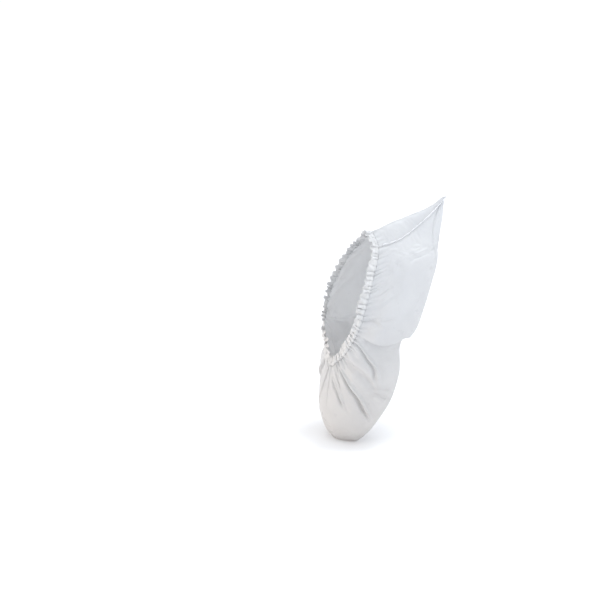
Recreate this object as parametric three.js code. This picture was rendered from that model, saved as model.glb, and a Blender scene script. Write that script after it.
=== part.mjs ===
// Disposable film shoe cover in the shape it has when worn by a foot that stands on its toes.
// Millimetres. +Z is up, the toe points down and towards -Y, and the wearer's left is +X.
// The shape is described in the shoe's own frame: x from the heel towards the toe, y towards the
// outer side of the foot, z from the sole towards the instep. One group then tips it to its pitch.
import * as THREE from "three";

// Driving dimensions.
const FOOT_PITCH = 66; // degrees, how far the toe points down
const FLOOR = -232.5; // height of the floor that the toe is pressed on
const WALL = 1.2; // film wall
const HEM_HEIGHT = 8.5; // gathered hem, along the film
const HEM_THICKNESS = 3.6;
const HEM_STAND = 0.6; // how far the hem turns up from the film's own slope
const HEM_SPREAD = 0.06; // share of a rib that gives the film's slope at the rim
const HEM_GAP = 0.6; // from the rim to the hem's rounded lower edge
const SEAM_WIDTH = 3.2; // welded margin at the heel
const SEAM_THICKNESS = 1.2;
const SEAM_GAP = 0.6; // from the film to the seam's rounded edge
const SEAM_FROM = 0.09; // how far up the side the welded margin reaches, as v below
const SEAM_TO = 0.96;
const CORNER_LEAN = 9; // how far the pointed heel corner leans outwards
const CORNER_START = -20; // where behind the heel the lean starts
const CORNER_POWER = 1.5; // how sharply the lean grows towards the corner's point
const TIP_RETREAT = 5; // how far the hollow stays short of the pointed heel corner

// Facets.
const LENGTH_STEPS = 76; // from the heel weld to the toe weld
const SIDE_STEPS = 11; // from the sole fold to the hem, on each side
const HEM_SIDES = 8;
const SEAM_STEPS = 24;

// Ribs of the bag, from the line behind the heel (row 0) to the toe weld (last row). Each rib runs
// from the fold under the sole, round the edge of the sole and up the side, to the hem. Columns are
// the points where it crosses those places, in the shoe's frame.
const RIBS = [
  { fold: [-66, 0, 2], edge: [-48, 0, 12], side: [-29, 0, 37], shoulder: [-11, 0, 62], hem: [5, 0, 80] },
  { fold: [-64, 0, 0], edge: [-48, 5, 7], side: [-24, 12, 26], shoulder: [0, 17, 49], hem: [17, 16, 75] },
  { fold: [-50, 0, 0], edge: [-37, 15, 1], side: [-10, 26, 20], shoulder: [12, 28, 49], hem: [33, 26, 76] },
  { fold: [-25, 0, 0], edge: [-16, 25, 0], side: [4, 38, 18], shoulder: [25, 38, 51], hem: [49, 32, 78] },
  { fold: [5, 0, 0], edge: [12, 38, 0], side: [24, 47, 19], shoulder: [42, 44, 52], hem: [66, 37, 78] },
  { fold: [45, 0, 0], edge: [48, 42, 0], side: [54, 53, 20], shoulder: [65, 50, 54], hem: [86, 40, 78] },
  { fold: [83, 0, 0], edge: [85, 41, 0], side: [89, 55, 20], shoulder: [96, 53, 54], hem: [106, 41, 76] },
  { fold: [120, 0, 0], edge: [121, 40, 0], side: [123, 53, 21], shoulder: [126, 50, 55], hem: [126, 38, 74] },
  { fold: [157, 0, 0], edge: [157, 48, 0], side: [157, 59, 22], shoulder: [153, 48, 55], hem: [146, 31, 72] },
  { fold: [190, 0, 0], edge: [190, 50, 0], side: [188, 58, 22], shoulder: [178, 43, 54], hem: [160, 22, 70] },
  { fold: [218, 0, 0], edge: [216, 44, 1], side: [212, 50, 23], shoulder: [199, 34, 53], hem: [169, 14, 69] },
  { fold: [243, 0, 1], edge: [240, 36, 4], side: [233, 40, 26], shoulder: [214, 25, 53], hem: [174, 8, 68] },
  { fold: [259, 0, 3], edge: [257, 22, 7], side: [249, 24, 30], shoulder: [227, 14, 54], hem: [176, 4, 67] },
  { fold: [268, 0, 10], edge: [264, 0, 20], side: [256, 0, 36], shoulder: [231, 0, 54], hem: [177, 0, 67] },
];
const PLACES = ["fold", "edge", "side", "shoulder", "hem"];
const CREASED_RIB = 1; // the seam runs along this rib on the outer side, so the film turns sharply there
const LAST_RIB = RIBS.length - 1;

// Large folds that run down from the hem. Their middle line goes from rib head at the hem to rib foot
// at FOLD_FOOT up the side, and bows by so many ribs between. From and to are how far up the side
// the fold reaches (0 sole fold, 1 hem), width is in ribs, depth in millimetres.
const FOLDS = [
  { side: 1, head: 9.9, foot: 10.5, bow: -0.5, from: 0.35, to: 0.97, width: 0.2, depth: 5.5 },
  { side: 1, head: 8.5, foot: 9.4, bow: -0.15, from: 0.5, to: 0.95, width: 0.36, depth: 5 },
  { side: 1, head: 7.1, foot: 9.1, bow: -0.1, from: 0.42, to: 0.9, width: 0.3, depth: 3.5 },
  { side: 1, head: 11.6, foot: 10.9, bow: 0, from: 0.5, to: 1, width: 0.22, depth: 3.5 },
  { side: 1, head: 12.5, foot: 12, bow: 0, from: 0.65, to: 1, width: 0.22, depth: 2 },
  { side: -1, head: 10, foot: 10.4, bow: -0.2, from: 0.4, to: 0.95, width: 0.28, depth: 4.5 },
  { side: -1, head: 8.4, foot: 9.1, bow: 0, from: 0.35, to: 0.9, width: 0.4, depth: 5 },
  { side: -1, head: 11.8, foot: 11.4, bow: 0, from: 0.55, to: 1, width: 0.25, depth: 3 },
];
const FOLD_FOOT = 0.4;
const FOLD_START = 0.2; // a fold deepens over this much of the side
const FOLD_END = 0.1; // below the hem it fades over this much, to FOLD_REST of its depth
const FOLD_REST = 0.4;

// The slack film behind the waist of the shoe bulges and laps over the film in front of it. The
// lengths along the bag are in ribs. The crease moves from rib foot to rib head between the heights
// bend and bendEnd, the bulge rounds over by lip within round of it, and inner is the share of the
// pleat on the inner side of the foot.
const PLEAT = {
  foot: 6.7,
  head: 6.98,
  bend: 0.4,
  bendEnd: 0.65,
  bulge: 4.5,
  reach: 1.6,
  lip: 4,
  round: 0.6,
  dip: 7,
  recovery: 0.8,
  from: 0.05,
  to: 0.95,
  fade: 0.2,
  inner: 0.5,
};

// Small gathers that the elastic pulls into the film below the hem, which die out towards the
// welds at the heel and the toe, over so many ribs.
const GATHERS = {
  perRib: 1.3,
  depth: 2.2,
  from: 0.62,
  drift: 0.17,
  driftRate: 2.3,
  heelFade: 0.5,
  toeFade: 3.5,
};

// Smooth curve through values at t = 0, 1, 2 ..., where before and after stand for its neighbours.
function hermite(before, a, b, after, t) {
  const startSlope = (b - before) / 2;
  const endSlope = (after - a) / 2;
  const t2 = t * t;
  const t3 = t2 * t;
  return (
    (2 * t3 - 3 * t2 + 1) * a +
    (t3 - 2 * t2 + t) * startSlope +
    (3 * t2 - 2 * t3) * b +
    (t3 - t2) * endSlope
  );
}

// A point of one rib in the table, mirrored for the inner side of the foot.
function ribPoint(rib, place, side) {
  const [x, y, z] = RIBS[rib][PLACES[place]];
  return [x, y * side, z];
}

// A point between two ribs at one of the named places.
function alongPlace(t, place, side) {
  const rib = Math.min(Math.floor(t), LAST_RIB - 1);
  const a = ribPoint(rib, place, side);
  const b = ribPoint(rib + 1, place, side);
  const creasedStart = rib === CREASED_RIB && side > 0;
  const creasedEnd = rib + 1 === CREASED_RIB && side > 0;
  const roundHeel = rib === 0;
  const roundToe = rib + 1 === LAST_RIB;
  const behind = roundHeel ? ribPoint(1, place, -side) : ribPoint(rib - 1, place, side);
  const ahead = roundToe ? ribPoint(rib, place, -side) : ribPoint(rib + 2, place, side);
  const before = creasedStart ? null : behind;
  const after = creasedEnd ? null : ahead;
  return a.map((value, axis) => {
    const previous = before ? before[axis] : 2 * value - b[axis];
    const next = after ? after[axis] : 2 * b[axis] - value;
    return hermite(previous, value, b[axis], next, t - rib);
  });
}

// The bag's smooth surface: t counts ribs, v runs from 0 at the sole fold to 1 at the hem.
function smoothPoint(t, v, side) {
  const scaled = v * (PLACES.length - 1);
  const place = Math.min(Math.floor(scaled), PLACES.length - 2);
  const a = alongPlace(t, place, side);
  const b = alongPlace(t, place + 1, side);
  const before = place > 0 ? alongPlace(t, place - 1, side) : alongPlace(t, 1, -side);
  const last = place === PLACES.length - 2;
  const after = last ? a.map((value, axis) => 2 * b[axis] - value) : alongPlace(t, place + 2, side);
  const point = a.map((value, axis) => hermite(before[axis], value, b[axis], after[axis], scaled - place));
  return new THREE.Vector3(...point);
}

// The pointed corner behind the heel leans to the outer side.
function leaned(point) {
  const share = Math.max(0, (CORNER_START - point.x) / (CORNER_START - RIBS[0].fold[0]));
  point.y += CORNER_LEAN * share ** CORNER_POWER;
  return point;
}

// The toe is flat where it is pressed on the floor. The height is measured along the part's +Z.
const PITCH = THREE.MathUtils.degToRad(FOOT_PITCH);
const UP = new THREE.Vector3(-Math.sin(PITCH), 0, Math.cos(PITCH));
function aboveFloor(point, floor) {
  return point.addScaledVector(UP, Math.max(0, floor - point.dot(UP)));
}

const STEP = 0.02;

// Outward normal of the smooth surface.
function smoothNormal(t, v, side) {
  const t0 = Math.max(t - STEP, 0);
  const t1 = Math.min(t + STEP, LAST_RIB);
  const v0 = Math.max(v - STEP, 0);
  const v1 = Math.min(v + STEP, 1);
  const alongLength = smoothPoint(t1, v, side).sub(smoothPoint(t0, v, side));
  const upSide = smoothPoint(t, v1, side).sub(smoothPoint(t, v0, side));
  return upSide.cross(alongLength).multiplyScalar(side).normalize();
}

function smoothStep(from, to, value) {
  return THREE.MathUtils.smoothstep(value, from, to);
}

function foldDepth(t, v, side) {
  return FOLDS.filter((fold) => fold.side === side).reduce((sum, fold) => {
    const up = (v - FOLD_FOOT) / (1 - FOLD_FOOT);
    const arch = 4 * up * (1 - up); // 1 halfway up, 0 at both ends
    const middle = THREE.MathUtils.lerp(fold.foot, fold.head, up) + fold.bow * arch;
    const across = Math.exp(-(((t - middle) / fold.width) ** 2));
    const starts = smoothStep(fold.from, fold.from + FOLD_START, v);
    const ends = 1 - (1 - FOLD_REST) * smoothStep(fold.to - FOLD_END, 1, v);
    return sum - fold.depth * across * starts * ends;
  }, 0);
}

function pleatHeight(t, v, side) {
  const share = side > 0 ? 1 : PLEAT.inner;
  const starts = smoothStep(PLEAT.from, PLEAT.from + PLEAT.fade, v);
  const ends = 1 - smoothStep(PLEAT.to - PLEAT.fade, PLEAT.to, v);
  const behind = THREE.MathUtils.lerp(PLEAT.foot, PLEAT.head, smoothStep(PLEAT.bend, PLEAT.bendEnd, v)) - t;
  const bulge = PLEAT.bulge * Math.exp(-((behind / PLEAT.reach) ** 2));
  const lip = PLEAT.lip * Math.max(0, 1 - behind / PLEAT.round) ** 2;
  const dip = PLEAT.dip * Math.exp(-((behind / PLEAT.recovery) ** 2));
  const height = behind >= 0 ? bulge - lip : -dip;
  return height * share * starts * ends;
}

function gatherHeight(t, v, side) {
  const drift = GATHERS.drift * Math.sin(GATHERS.driftRate * t + side);
  const wave = Math.sin(2 * Math.PI * (GATHERS.perRib * t + drift));
  const ends = Math.min(1, t / GATHERS.heelFade, (LAST_RIB - t) / GATHERS.toeFade);
  return GATHERS.depth * wave * ends * smoothStep(GATHERS.from, 1, v);
}

// The film's outer surface with its folds, pleat and gathers.
function filmPoint(t, v, side) {
  const height = foldDepth(t, v, side) + pleatHeight(t, v, side) + gatherHeight(t, v, side);
  const point = smoothPoint(t, v, side).addScaledVector(smoothNormal(t, v, side), height);
  return aboveFloor(leaned(point), FLOOR);
}

function meshFrom(name, points, triangles, material) {
  const geometry = new THREE.BufferGeometry().setFromPoints(points);
  geometry.setIndex(triangles.flat());
  geometry.computeVertexNormals();
  const mesh = new THREE.Mesh(geometry, material);
  mesh.name = name;
  return mesh;
}

function quad(a, b, c, d) {
  return [
    [a, b, c],
    [a, c, d],
  ];
}

// The hollow bag: an outer skin, an inner skin one wall inside it, and the rim between them.
function makeFilmBag(material) {
  const points = [];
  const index = new Map();
  for (let i = 0; i <= LENGTH_STEPS; i++) {
    const weld = i === 0 || i === LENGTH_STEPS;
    for (let j = weld ? 0 : -SIDE_STEPS; j <= SIDE_STEPS; j++) {
      const t = (i / LENGTH_STEPS) * LAST_RIB;
      index.set(i + "," + j, points.length);
      points.push(filmPoint(t, Math.abs(j) / SIDE_STEPS, j < 0 ? -1 : 1));
      if (weld && j > 0) index.set(i + "," + -j, points.length - 1);
    }
  }
  const at = (i, j) => index.get(i + "," + j);
  const skin = [];
  for (let i = 0; i < LENGTH_STEPS; i++) {
    for (let j = -SIDE_STEPS; j < SIDE_STEPS; j++) {
      const [a, b, c, d] = [at(i, j), at(i, j + 1), at(i + 1, j + 1), at(i + 1, j)];
      skin.push(...(j < 0 ? quad(a, b, c, d) : quad(b, c, d, a))); // both sides alike
    }
  }
  const triangles = skin.filter(([a, b, c]) => a !== b && b !== c && c !== a);

  const outer = new THREE.BufferGeometry().setFromPoints(points);
  outer.setIndex(triangles.flat());
  outer.computeVertexNormals();
  const normals = outer.getAttribute("normal");
  const tip = leaned(new THREE.Vector3(...RIBS[0].fold));
  const count = points.length;
  const inner = points.map((point, k) => {
    const normal = new THREE.Vector3().fromBufferAttribute(normals, k);
    const retreat = TIP_RETREAT * Math.exp(-point.distanceTo(tip) / (2 * TIP_RETREAT));
    const moved = point.clone().addScaledVector(normal, -WALL).add(new THREE.Vector3(retreat, 0, 0));
    return aboveFloor(moved, FLOOR + WALL);
  });
  const insideOut = triangles.map(([a, b, c]) => [a + count, c + count, b + count]);

  const rim = [];
  for (let i = 0; i <= LENGTH_STEPS; i++) rim.push(at(i, SIDE_STEPS));
  for (let i = LENGTH_STEPS - 1; i > 0; i--) rim.push(at(i, -SIDE_STEPS));
  const lip = rim.flatMap((a, k) => {
    const b = rim[(k + 1) % rim.length];
    return quad(a, a + count, b + count, b);
  });
  return meshFrom("film_bag", [...points, ...inner], [...triangles, ...insideOut, ...lip], material);
}

// A closed ring or a strip swept through frames, each with a centre and two half-axes.
function sweep(name, frames, sides, closed, material) {
  const points = [];
  const triangles = [];
  for (const { centre, wide, thick } of frames) {
    for (let k = 0; k < sides; k++) {
      const angle = (2 * Math.PI * k) / sides;
      const point = centre.clone().addScaledVector(wide, Math.cos(angle));
      points.push(point.addScaledVector(thick, Math.sin(angle)));
    }
  }
  const spans = closed ? frames.length : frames.length - 1;
  for (let i = 0; i < spans; i++) {
    const here = i * sides;
    const next = ((i + 1) % frames.length) * sides;
    for (let k = 0; k < sides; k++) {
      const m = (k + 1) % sides;
      triangles.push(...quad(here + k, next + k, next + m, here + m));
    }
  }
  if (!closed) {
    const end = (frames.length - 1) * sides;
    for (let k = 1; k < sides - 1; k++) {
      triangles.push([0, k, k + 1], [end, end + k + 1, end + k]);
    }
  }
  return meshFrom(name, points, triangles, material);
}

// The gathered hem stands on the rim of the bag and ruffles with its gathers.
function makeHem(material) {
  const place = (i) => {
    const side = i <= LENGTH_STEPS ? 1 : -1;
    const t = (LAST_RIB * (side > 0 ? i : 2 * LENGTH_STEPS - i)) / LENGTH_STEPS;
    return { rim: filmPoint(t, 1, side), below: filmPoint(t, 1 - HEM_SPREAD, side) };
  };
  const count = 2 * LENGTH_STEPS;
  const frames = [];
  for (let i = 0; i < count; i++) {
    const { rim, below } = place(i);
    const ahead = place((i + 1) % count).rim.sub(place((i + count - 1) % count).rim);
    const up = rim.clone().sub(below).normalize().add(new THREE.Vector3(0, 0, HEM_STAND)).normalize();
    const out = up.clone().cross(ahead).normalize();
    const centre = rim.clone().addScaledVector(up, HEM_GAP + HEM_HEIGHT / 2).addScaledVector(out, -WALL / 2);
    frames.push({
      centre,
      wide: up.multiplyScalar(HEM_HEIGHT / 2),
      thick: out.multiplyScalar(HEM_THICKNESS / 2),
    });
  }
  return sweep("elastic_hem", frames, HEM_SIDES, true, material);
}

// The welded margin stands off the film along the creased rib.
function makeHeelSeam(material) {
  const frames = [];
  for (let k = 0; k <= SEAM_STEPS; k++) {
    const v = SEAM_FROM + ((SEAM_TO - SEAM_FROM) * k) / SEAM_STEPS;
    const foot = filmPoint(CREASED_RIB, v, 1);
    const before = smoothNormal(CREASED_RIB - 2 * STEP, v, 1);
    const after = smoothNormal(CREASED_RIB + 2 * STEP, v, 1);
    const out = before.clone().add(after).normalize();
    const run = filmPoint(CREASED_RIB, v + STEP, 1).sub(filmPoint(CREASED_RIB, v - STEP, 1)).normalize();
    const across = new THREE.Vector3().crossVectors(run, out).normalize();
    frames.push({
      centre: foot.addScaledVector(out, SEAM_GAP + SEAM_WIDTH / 2),
      wide: out.clone().multiplyScalar(SEAM_WIDTH / 2),
      thick: across.multiplyScalar(-SEAM_THICKNESS / 2),
    });
  }
  return sweep("heel_seam", frames, HEM_SIDES, false, material);
}

const film = new THREE.MeshStandardMaterial({ color: 0xeceaee, roughness: 0.45, metalness: 0 });
const hem = new THREE.MeshStandardMaterial({ color: 0xf2f0ee, roughness: 0.5, metalness: 0 });
const seam = new THREE.MeshStandardMaterial({ color: 0xf4f5f8, roughness: 0.4, metalness: 0 });

const worn = new THREE.Group();
worn.add(makeFilmBag(film), makeHem(hem), makeHeelSeam(seam));

// Shoe axes in the part's frame: toe-ward, outer side, instep.
const toeward = new THREE.Vector3(0, -Math.cos(PITCH), -Math.sin(PITCH));
const sideways = new THREE.Vector3(1, 0, 0);
const instep = new THREE.Vector3(0, -Math.sin(PITCH), Math.cos(PITCH));
worn.setRotationFromMatrix(new THREE.Matrix4().makeBasis(toeward, sideways, instep));

const shoeCover = new THREE.Group();
shoeCover.add(worn);

export default shoeCover;
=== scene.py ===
"""Looks of a disposable film shoe cover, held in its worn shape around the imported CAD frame.

Metres, +Z up, in the frame's own axes. The film is described in the shoe's frame, as the CAD part
is: x from the heel towards the toe, y towards the outer side of the foot, z from the sole towards
the instep. t counts ribs from the heel weld to the toe weld, v runs from 0 at the fold under the
sole to 1 at the hem, and side is +1 on the outer side of the foot and -1 on the inner side.
"""

import math

import bpy
import numpy as np
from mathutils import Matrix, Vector


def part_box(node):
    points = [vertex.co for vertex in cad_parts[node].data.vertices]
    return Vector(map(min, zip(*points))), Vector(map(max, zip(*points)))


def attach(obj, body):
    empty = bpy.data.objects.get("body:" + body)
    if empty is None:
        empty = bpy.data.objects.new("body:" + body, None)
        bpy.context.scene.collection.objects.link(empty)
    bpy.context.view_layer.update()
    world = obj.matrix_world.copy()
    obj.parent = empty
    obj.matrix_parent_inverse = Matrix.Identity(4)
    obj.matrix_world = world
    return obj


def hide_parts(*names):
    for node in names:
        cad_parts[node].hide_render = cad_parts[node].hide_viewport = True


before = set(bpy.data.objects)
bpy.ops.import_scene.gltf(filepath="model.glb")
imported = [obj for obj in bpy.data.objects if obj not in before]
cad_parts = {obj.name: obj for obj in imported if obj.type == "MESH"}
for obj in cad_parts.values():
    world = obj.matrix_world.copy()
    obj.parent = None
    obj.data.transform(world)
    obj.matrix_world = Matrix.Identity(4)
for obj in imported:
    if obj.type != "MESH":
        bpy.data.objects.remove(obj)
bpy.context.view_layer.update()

MM = 0.001

# Driving dimensions, as in the CAD part.
FOOT_PITCH = math.radians(66)
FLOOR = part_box("film_bag")[0].z
CORNER_LEAN = 9 * MM
CORNER_START = -20 * MM
CORNER_POWER = 1.5
CREASED_RIB = 1

# The film's modelled thickness.
FILM_THICKNESS = 0.4 * MM

# Where the heel weld's seam starts and ends, in heights up the side.
SEAM_FROM, SEAM_TO = 0.09, 0.96

# Mesh fineness.
COLUMNS = 320
ROWS = 76
HEM_FRAMES = 1400
SEAM_FRAMES = 160

# How finely the surface is measured: steps to a rib along the rim and along the film, steps up the
# side, and how far apart the points are that a normal is taken from.
RIM_STEPS = 40
FILM_STEPS = 20
SIDE_STEPS = 100
NORMAL_STEP = 0.02

# Ribs of the bag in millimetres, one row for each, from the line behind the heel to the toe weld.
# The columns are the points where a rib crosses the sole's fold and edge, the side, the shoulder
# and the hem.
RIBS = MM * np.array(
    [
        [(-66, 0, 2), (-48, 0, 12), (-29, 0, 37), (-11, 0, 62), (5, 0, 80)],
        [(-64, 0, 0), (-48, 5, 7), (-24, 12, 26), (0, 17, 49), (17, 16, 75)],
        [(-50, 0, 0), (-37, 15, 1), (-10, 26, 20), (12, 28, 49), (33, 26, 76)],
        [(-25, 0, 0), (-16, 25, 0), (4, 38, 18), (25, 38, 51), (49, 32, 78)],
        [(5, 0, 0), (12, 38, 0), (24, 47, 19), (42, 44, 52), (66, 37, 78)],
        [(45, 0, 0), (48, 42, 0), (54, 53, 20), (65, 50, 54), (86, 40, 78)],
        [(83, 0, 0), (85, 41, 0), (89, 55, 20), (96, 53, 54), (106, 41, 76)],
        [(120, 0, 0), (121, 40, 0), (123, 53, 21), (126, 50, 55), (126, 38, 74)],
        [(157, 0, 0), (157, 48, 0), (157, 59, 22), (153, 48, 55), (146, 31, 72)],
        [(190, 0, 0), (190, 50, 0), (188, 58, 22), (178, 43, 54), (160, 22, 70)],
        [(218, 0, 0), (216, 44, 1), (212, 50, 23), (199, 34, 53), (169, 14, 69)],
        [(243, 0, 1), (240, 36, 4), (233, 40, 26), (214, 25, 53), (174, 8, 68)],
        [(259, 0, 3), (257, 22, 7), (249, 24, 30), (227, 14, 54), (176, 4, 67)],
        [(268, 0, 10), (264, 0, 20), (256, 0, 36), (231, 0, 54), (177, 0, 67)],
    ]
)
LAST_RIB = len(RIBS) - 1
LAST_PLACE = RIBS.shape[1] - 1

# Folds pressed into the film, as a lane through points (rib, height up the side) from its foot to
# its head. Width and depth are in millimetres, and a ridge has a negative depth. A crisp fold drops
# steeply from a roll of film on its heel-ward side; a soft one is a rounded hollow. The last ten
# meet in pairs at the fold under the sole.
FOLD_COLUMNS = ("side", "lane", "width", "depth", "crisp", "roll")
FOLDS = [
    (
        1,
        [
            (10.45, 0.38), (10.3, 0.49), (10.08, 0.58), (9.78, 0.67),
            (9.7, 0.8), (9.85, 0.9), (10.2, 1.0),
        ],
        3.2, 4.6, 1.0, 2.0,
    ),
    (1, [(11.0, 0.65), (10.95, 0.75), (11.1, 0.84), (11.7, 0.91), (12.4, 1.0)], 3.0, 3.4, 0.9, 1.2),
    (1, [(10.6, 0.78), (10.5, 0.86), (10.85, 0.94), (11.2, 1.0)], 2.4, 2.0, 0.8, 0.8),
    (1, [(9.0, 0.55), (8.7, 0.66), (8.65, 0.79), (8.95, 0.98)], 6.5, 3.6, 0.7, 1.2),
    (
        1, [(8.75, 0.54), (8.5, 0.61), (8.15, 0.65), (7.92, 0.73), (7.7, 0.84), (7.5, 0.94)],
        2.6, 3.0, 1.0, 2.0,
    ),
    (1, [(8.95, 0.6), (8.75, 0.56), (8.65, 0.47)], 3.2, 1.6, 0.7, 1.4),
    (1, [(9.2, 0.6), (9.05, 0.55), (9.0, 0.45)], 3.2, 1.7, 0.7, 1.4),
    (1, [(12.6, 0.7), (12.7, 0.85), (12.8, 1.0)], 3.0, 1.2, 0.4, 0.5),
    (1, [(6.35, 0.74), (6.1, 0.86), (5.9, 1.0)], 2.6, 1.5, 0.8, 0.8),
    (1, [(5.9, 0.66), (6.05, 0.76), (6.0, 0.86)], 3.2, 1.4, 0.7, 0.9),
    (1, [(5.1, 0.68), (5.45, 0.83), (5.5, 1.0)], 4.0, 1.4, 0.4, 0.6),
    (1, [(4.6, 0.76), (4.8, 0.88), (4.7, 1.0)], 3.0, 1.0, 0.5, 0.4),
    (1, [(4.2, 0.35), (5.0, 0.5), (5.7, 0.62), (6.3, 0.7)], 12.0, -2.2, 0.0, 0.0),
    (1, [(2.7, 0.43), (2.1, 0.41), (1.6, 0.36), (1.2, 0.27), (1.02, 0.18)], 2.4, 1.1, 0.8, 1.6),
    (-1, [(10.6, 0.38), (10.2, 0.55), (9.9, 0.75), (10.1, 1.0)], 5.0, 4.4, 0.9, 1.4),
    (-1, [(9.3, 0.4), (8.7, 0.55), (8.3, 0.75), (8.5, 1.0)], 8.0, 4.6, 0.4, 1.0),
    (-1, [(11.6, 0.6), (11.8, 0.75), (12.1, 1.0)], 3.6, 1.8, 0.6, 0.6),
    (-1, [(9.0, 0.48), (8.3, 0.6), (7.7, 0.74), (7.4, 0.96)], 4.5, 3.0, 0.8, 1.2),
    (-1, [(4.0, 0.35), (4.8, 0.5), (5.8, 0.7)], 11.0, -2.4, 0.0, 0.0),
    (-1, [(5.2, 0.6), (5.6, 0.8), (5.6, 1.0)], 4.5, 1.8, 0.5, 0.7),
    (-1, [(3.0, 0.55), (3.2, 0.75), (3.1, 1.0)], 4.0, 1.4, 0.5, 0.6),
    (-1, [(2.4, 0.4), (1.7, 0.28), (1.2, 0.14)], 3.4, 1.2, 0.7, 1.0),
    (-1, [(8.6, 0.16), (8.1, 0.3), (7.5, 0.42), (7.1, 0.56), (7.0, 0.7)], 5.0, 2.6, 0.6, 1.0),
    (-1, [(3.4, 0.1), (4.2, 0.22), (5.0, 0.3), (6.0, 0.36), (6.6, 0.42)], 7.0, 2.4, 0.5, 1.0),
    (-1, [(2.6, 0.3), (3.4, 0.42), (4.4, 0.5), (5.3, 0.52)], 6.0, 2.0, 0.5, 0.8),
    (-1, [(10.9, 0.2), (10.1, 0.32), (9.6, 0.48), (9.3, 0.62)], 5.0, 2.2, 0.6, 1.0),
    (1, [(7.75, 0.26), (7.45, 0.14), (7.25, 0.0)], 4.0, 2.2, 0.6, 1.4),
    (-1, [(6.9, 0.34), (7.05, 0.16), (7.25, 0.0)], 4.0, 2.2, 0.6, 1.4),
    (1, [(8.9, 0.2), (8.65, 0.1), (8.35, 0.0)], 4.5, 1.8, 0.5, 1.2),
    (-1, [(7.8, 0.3), (8.1, 0.14), (8.35, 0.0)], 4.5, 1.8, 0.5, 1.2),
    (1, [(4.8, 0.26), (5.2, 0.12), (5.5, 0.0)], 6.0, 2.2, 0.5, 1.4),
    (-1, [(6.3, 0.3), (5.9, 0.14), (5.5, 0.0)], 6.0, 2.2, 0.5, 1.4),
    (1, [(3.3, 0.24), (3.7, 0.12), (4.0, 0.0)], 5.0, 1.6, 0.5, 1.2),
    (-1, [(4.8, 0.28), (4.4, 0.13), (4.0, 0.0)], 5.0, 1.6, 0.5, 1.2),
    (1, [(10.6, 0.18), (10.3, 0.09), (10.0, 0.0)], 4.5, 1.2, 0.5, 1.0),
    (-1, [(9.4, 0.24), (9.7, 0.12), (10.0, 0.0)], 4.5, 1.2, 0.5, 1.0),
]
# Lanes are measured in a flat chart, with ribs so far apart and the hem so far up, in so many
# straight pieces.
RIB_PITCH = 27 * MM
SIDE_RISE = 135 * MM
LANE_PIECES = 20
# A fold fades in over this share of its lane, and near the hem it sinks to the rest of its depth.
FOLD_FADE = 0.3
FOLD_HEM = 0.88
FOLD_REST = 0.4
# A crisp fold's steep side is narrower by this share. Its roll has a height beside the fold's
# depth, and a place and a width beside the fold's width.
FOLD_STEEPNESS = 0.62
ROLL = {"height": 0.3, "place": 1.25, "width": 0.8}

# The slack film behind the waist bulges and laps over the film in front of it. Distances along the
# bag are in ribs. bend, start, end, fade, lap_start and lap_end are heights up the side, and inner
# is how much of it the inner side has.
PLEAT = {
    "foot": 6.7,
    "head": 7.03,
    "bend": 0.4,
    "bend_end": 0.68,
    "bulge": 4.5 * MM,
    "reach": 1.6,
    "lip": 4 * MM,
    "round": 0.6,
    "dip": 7 * MM,
    "recovery": 0.8,
    "start": 0.05,
    "end": 0.95,
    "fade": 0.2,
    "inner": 0.5,
    "turn": 0.03,
    "lap": 0.13,
    "lap_width": 0.09,
    "lap_start": 0.45,
    "lap_end": 0.65,
}

# Ruffles that the elastic pulls into the film, each with its own width, height and lean. They start
# at the rise's height up the side, and are pinched in between by a share of their height. A crease
# runs down the film from between each two. It widens by the spread, which is a share of the way
# down, slants by up to the slant, keeps its whole depth for the first share of its reach, and is
# no shorter than the least share of its reach.
RUFFLES = 72
RUFFLE_HEIGHT = 1.3 * MM
RUFFLE_RISE = 0.86
RUFFLE_POWER = 0.75
RUFFLE_PINCH = 0.5
CREASE_DEPTH = 1.2 * MM
CREASE_WIDTH = 1.3 * MM
CREASE_SPREAD = 0.14
CREASE_SLANT = 0.12
CREASE_WHOLE = 0.25
CREASE_LEAST = 0.5
# How far down the creases run in millimetres, and how deep they are beside the deepest, by rib.
CREASE_REACH = {0: 7, 3: 8, 5.5: 13, 7: 16, 9: 22, 13: 26}
CREASE_STRENGTH = {0: 0.25, 4: 0.35, 6.5: 0.85, 8: 1.0, 13: 1.0}
SEED = 11
random = np.random.default_rng(SEED)
RUFFLE_WIDTHS = random.uniform(0.45, 1.55, RUFFLES)
RUFFLE_EDGES = np.concatenate([[0], np.cumsum(RUFFLE_WIDTHS)]) / RUFFLE_WIDTHS.sum()
RUFFLE_SIZES = random.uniform(0.3, 1.3, RUFFLES)
RUFFLE_LEANS = random.uniform(-1, 1, RUFFLES)
RUFFLE_LIFTS = random.uniform(-1, 1, RUFFLES)
CREASE_SIZES = random.uniform(0.2, 1.2, RUFFLES)
CREASE_LENGTHS = random.exponential(1.0, RUFFLES)
CREASE_SLOPES = random.uniform(-1, 1, RUFFLES)

# The frill above the elastic waves in and out in fewer, larger loops, which narrow at their necks.
LOOPS = 47
LOOP_WIDTHS = random.uniform(0.5, 1.5, LOOPS)
LOOP_EDGES = np.concatenate([[0], np.cumsum(LOOP_WIDTHS)]) / LOOP_WIDTHS.sum()
LOOP_SIZES = random.uniform(0.3, 1.3, LOOPS)
LOOP_LIFTS = random.uniform(-1, 1, LOOPS)
LOOP_NECK = 0.08

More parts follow.
